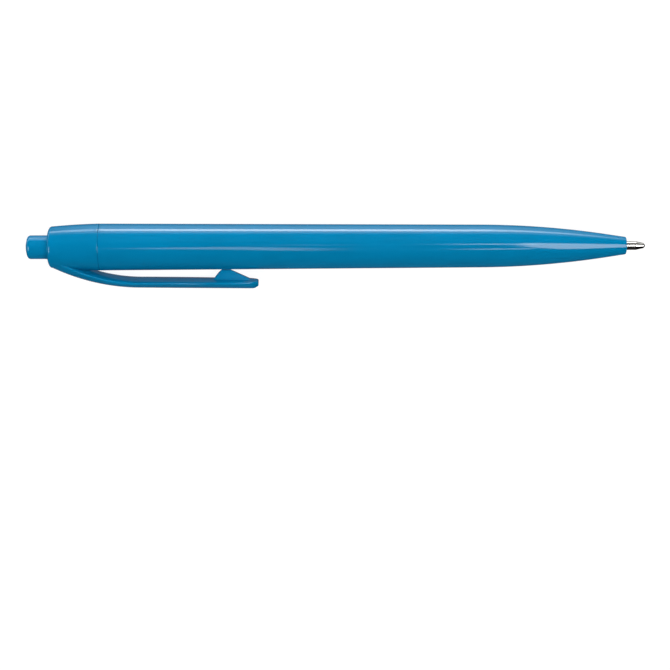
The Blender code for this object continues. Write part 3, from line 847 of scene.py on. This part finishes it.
def coil_rings():
    """Round sections of the wire, square to its run."""
    turns = OPEN_TURNS + 2 * END_TURNS
    count = int(turns * COIL_STEPS)
    rings = []
    for i in range(count + 1):
        turn = turns * i / count
        here = coil_point(turn)
        way = (coil_point(turn + 0.001) - coil_point(turn - 0.001)).normalized()
        out = Vector((0, here.y, here.z)).normalized()
        side = way.cross(out).normalized()
        ring = []
        for k in range(WIRE_SIDES):
            angle = 2 * math.pi * k / WIRE_SIDES
            ring.append(here + (out * math.cos(angle) + side * math.sin(angle)) * WIRE)
        rings.append(ring)
    return rings


spring = make_object("spring", loft(coil_rings()), STEEL)
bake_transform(spring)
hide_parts("return_spring")

# ---- floor -----------------------------------------------------------------------------------
FLOOR_HALF = 3.0
floor_mesh = bpy.data.meshes.new("floor")
floor_mesh.from_pydata(
    [
        (-FLOOR_HALF, -FLOOR_HALF, 0),
        (FLOOR_HALF, -FLOOR_HALF, 0),
        (FLOOR_HALF, FLOOR_HALF, 0),
        (-FLOOR_HALF, FLOOR_HALF, 0),
    ],
    [],
    [(0, 1, 2, 3)],
)
# The floor is a light table: most of its light comes from below, so shadows on it are faint.
floor_mesh.materials.append(
    surface(
        "floor",
        (0.14, 0.14, 0.14),
        0.7,
        (2000, 2000, 2000),
        1e-6,
        shade=0.01,
        Emission_Color=(1.0, 1.0, 1.0, 1.0),
        Emission_Strength=0.88,
    )
)
floor = bpy.data.objects.new("floor", floor_mesh)
bpy.context.scene.collection.objects.link(floor)
floor.visible_glossy = False

# ---- light -----------------------------------------------------------------------------------
# Radiance of the surroundings by the angle round the pen, in degrees from straight up towards +Y.
ROUND_THE_PEN = (
    (-180, 0.08),
    (-96, 0.04),
    (-60, 0.02),
    (60, 0.02),
    (67, 0.3),
    (73, 2.0),
    (82.5, 2.2),
    (84.5, 11.5),
    (95.5, 11.5),
    (97.5, 1.8),
    (108, 1.5),
    (128, 0.6),
    (140, 0.15),
    (180, 0.08),
)
# The share that is left of its bright middle, by the X of the direction that light comes from.
MIDDLE_ALONG = (
    (-0.32, 0.87),
    (-0.24, 0.87),
    (-0.2, 0.68),
    (-0.172, 0.6),
    (-0.167, 0.14),
    (-0.155, 0.14),
    (-0.14, 0.88),
    (-0.1, 0.88),
    (-0.08, 1.0),
    (0.05, 1.0),
    (0.147, 0.76),
    (0.29, 0.74),
    (0.38, 0.6),
)
DEGREE = math.pi / 180
PATCH_EDGES = (1.5 * DEGREE, 0.02)
SEEN_GREY = 0.95
LAMP_SPREAD = math.radians(50)

world = bpy.data.worlds.new("studio")
world.use_nodes = True
bpy.context.scene.world = world
sky = world.node_tree
sky.nodes.clear()
direction = add(
    sky,
    "ShaderNodeSeparateXYZ",
    Vector=sky.nodes.new("ShaderNodeTexCoord").outputs["Generated"],
)
ALONG = direction.outputs["X"]


def calculate(operation, first, second):
    """A Math node's result for two values, each a number or another node's output."""
    node = sky.nodes.new("ShaderNodeMath")
    node.operation = operation
    for socket, value in zip(node.inputs, (first, second)):
        if isinstance(value, bpy.types.NodeSocket):
            sky.links.new(value, socket)
        else:
            socket.default_value = value
    return node.outputs[0]


def between(value, low, high, soft):
    """1 where value lies between two limits and 0 outside, over a soft edge."""
    rise = calculate("DIVIDE", calculate("SUBTRACT", value, low), soft)
    fall = calculate("DIVIDE", calculate("SUBTRACT", high, value), soft)
    inside = calculate("MINIMUM", rise, fall)
    return mapped(sky, inside, -0.5, 0.5, 0.0, 1.0)


def product(*factors):
    """The factors multiplied together."""
    made = factors[0]
    for factor in factors[1:]:
        made = calculate("MULTIPLY", made, factor)
    return made


def patch(turn, along, strength):
    """A patch of light between two angles round the pen, in degrees, and two places along it."""
    low, high = turn
    return product(
        between(ROUND, low * DEGREE, high * DEGREE, PATCH_EDGES[0]),
        between(ALONG, *along, PATCH_EDGES[1]),
        strength,
    )


def level(value, marks):
    """A level that follows marks (value, level), in a straight line between them."""
    low, high = marks[0][0], marks[-1][0]
    most = max(amount for _, amount in marks)
    ramp = sky.nodes.new("ShaderNodeValToRGB")
    sky.links.new(mapped(sky, value, low, high, 0.0, 1.0), ramp.inputs["Fac"])
    elements = ramp.color_ramp.elements
    while len(elements) > 1:
        elements.remove(elements[-1])
    for i, (mark, amount) in enumerate(marks):
        position = (mark - low) / (high - low)
        element = elements[0] if i == 0 else elements.new(position)
        element.position = position
        element.color = (*[amount / most] * 3, 1)
    return calculate("MULTIPLY", ramp.outputs["Color"], most)


ROUND = calculate("ARCTAN2", direction.outputs["Y"], direction.outputs["Z"])

# The band beside the pen is dimmer towards both ends, and its bright middle more so.
bright_middle = between(ROUND, 84 * DEGREE, 96 * DEGREE, 2 * DEGREE)
missing = calculate("SUBTRACT", 1.0, level(ALONG, MIDDLE_ALONG))
band = product(
    level(calculate("DIVIDE", ROUND, DEGREE), ROUND_THE_PEN),
    mapped(sky, ALONG, -0.26, -0.13, 0.45, 1.0),
    mapped(sky, ALONG, 0.08, 0.42, 1.0, 0.25),
    calculate("SUBTRACT", 1.0, product(bright_middle, missing)),
)

# Two soft boxes over the ends of the pen. The lower side of the front one is slanted.
front_box = product(
    between(
        ROUND,
        mapped(sky, ALONG, 0.2, 0.32, -6 * DEGREE, -26 * DEGREE),
        13 * DEGREE,
        3 * DEGREE,
    ),
    between(ALONG, 0.21, 0.66, 0.05),
    7.0,
)
rear_box = patch((-39, -1), (-0.8, -0.4), 6.5)
# Three narrow gaps of light overhead.
upper_gap = patch((5, 9), (0.078, 0.24), 7.5)
lower_gap = patch((-22, -17.5), (0.085, 0.23), 6.0)
short_gap = patch((3.5, 6), (-0.022, 0.012), 2.4)
# A strip that starts as a thin line, widens and turns down.
strip_middle = mapped(sky, ALONG, -0.045, -0.01, -10.5 * DEGREE, -18.5 * DEGREE)
strip_width = mapped(sky, ALONG, -0.12, -0.04, 0.3 * DEGREE, 7 * DEGREE)
strip = product(
    between(
        ROUND,
        calculate("SUBTRACT", strip_middle, strip_width),
        calculate("ADD", strip_middle, strip_width),
        2 * DEGREE,
    ),
    between(ALONG, -0.1, 0.0, 0.03),
    3.2,
)
radiance = band
for light in (front_box, rear_box, upper_gap, lower_gap, short_gap, strip):
    radiance = calculate("ADD", radiance, light)

# The pen is lit by that radiance, while the camera sees plain pale surroundings.
lit = add(sky, "ShaderNodeBackground", Strength=radiance)
seen = add(sky, "ShaderNodeBackground", Color=(SEEN_GREY, SEEN_GREY, SEEN_GREY, 1.0))
mix = sky.nodes.new("ShaderNodeMixShader")
sky.links.new(sky.nodes.new("ShaderNodeLightPath").outputs["Is Camera Ray"], mix.inputs[0])
sky.links.new(lit.outputs[0], mix.inputs[1])
sky.links.new(seen.outputs[0], mix.inputs[2])
world_out = sky.nodes.new("ShaderNodeOutputWorld")
sky.links.new(mix.outputs[0], world_out.inputs["Surface"])


def lamp(name, energy, turn, shadow):
    """A wide soft sun that shades the pen but isn't mirrored in it."""
    data = bpy.data.lights.new(name, "SUN")
    data.energy = energy
    data.angle = LAMP_SPREAD
    data.use_shadow = shadow
    made = bpy.data.objects.new(name, data)
    made.rotation_euler = [math.radians(degrees) for degrees in turn]
    made.visible_glossy = False
    bpy.context.scene.collection.objects.link(made)


# Both lamps stand on the side away from the clip. The fill lamp reaches the tooth and the clip's
# inner face, which lie in the barrel's shadow.
lamp("lamp", 0.7, (-45, 15, 0), True)
lamp("fill_lamp", 1.0, (-45, 0, 0), False)

# ---- camera ----------------------------------------------------------------------------------
CAMERA_HEIGHT = 0.4
CAMERA_BACK = 0.00018
CAMERA_SIDE = 0.02005
PICTURE_WIDTH = 0.1516
CAMERA_TURN = math.radians(-0.157)

camera_data = bpy.data.cameras.new("camera")
camera_data.sensor_width = 36.0
camera_data.lens = camera_data.sensor_width * CAMERA_HEIGHT / PICTURE_WIDTH
camera_data.clip_start = 0.01
camera_data.clip_end = 20.0
camera = bpy.data.objects.new("camera", camera_data)
pen_middle = (bounds_at_load[0][0] + bounds_at_load[1][0]) / 2
camera.location = (pen_middle - CAMERA_BACK, AXIS_Y - CAMERA_SIDE, AXIS_Z + CAMERA_HEIGHT)
camera.rotation_euler = (0.0, 0.0, CAMERA_TURN)
bpy.context.scene.collection.objects.link(camera)
bpy.context.scene.camera = camera
bpy.context.scene.view_settings.view_transform = "Standard"
